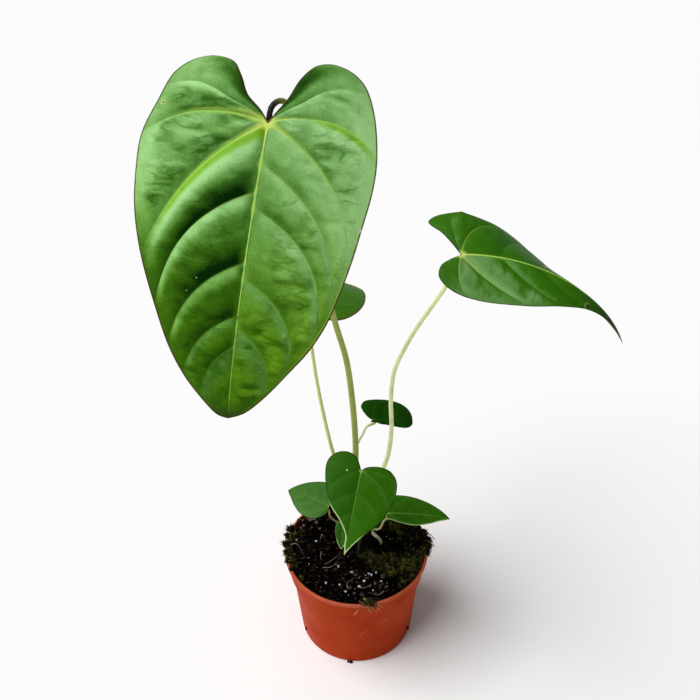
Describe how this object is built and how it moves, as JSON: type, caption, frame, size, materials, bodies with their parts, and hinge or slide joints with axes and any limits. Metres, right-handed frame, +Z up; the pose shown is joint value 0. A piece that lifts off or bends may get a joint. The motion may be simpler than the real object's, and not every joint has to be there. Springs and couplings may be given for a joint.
{
  "type": "potted foliage plant",
  "caption": "Heart-leaved foliage plant with ribbed blades on long slender stalks, rooted in a small tapered nursery pot filled with peat and moss.",
  "frame": {"origin": "centre of the pot's underside", "axes": "+Z up out of the pot; the largest leaf hangs towards -Y and the long-pointed leaf reaches towards +X"},
  "size_m": [0.3035, 0.2008, 0.5237],
  "materials": {
    "terracotta": "terracotta-coloured thin plastic, slightly satin, lightly scuffed",
    "peat": "damp dark peat with bark crumbs, white perlite grains and patches of moss",
    "rootstock": "green to brown short stem with aerial roots",
    "stalk_olive": "smooth olive green, dark at the knuckle under the blade",
    "stalk_pale": "smooth pale yellow-green",
    "leaf_light": "satin mid green with sunken pale veins and a dark red margin",
    "leaf_deep": "satin deep green with sunken pale veins"
  },
  "bodies": {
    "root": {"pot": "terracotta", "rootstock": "rootstock", "peat": "peat", "stalk_large": "stalk_olive", "blade_large": "leaf_light", "stalk_pointed": "stalk_pale", "blade_pointed": "leaf_deep", "stalk_shaded": "stalk_pale", "blade_shaded": "leaf_deep", "stalk_back": "stalk_pale", "blade_back": "leaf_deep", "stalk_front": "stalk_pale", "blade_front": "leaf_deep", "stalk_left": "stalk_pale", "blade_left": "leaf_deep", "stalk_right": "stalk_pale", "blade_right": "leaf_deep", "stalk_newest": "stalk_pale", "blade_newest": "leaf_deep"}
  },
  "joints": []
}
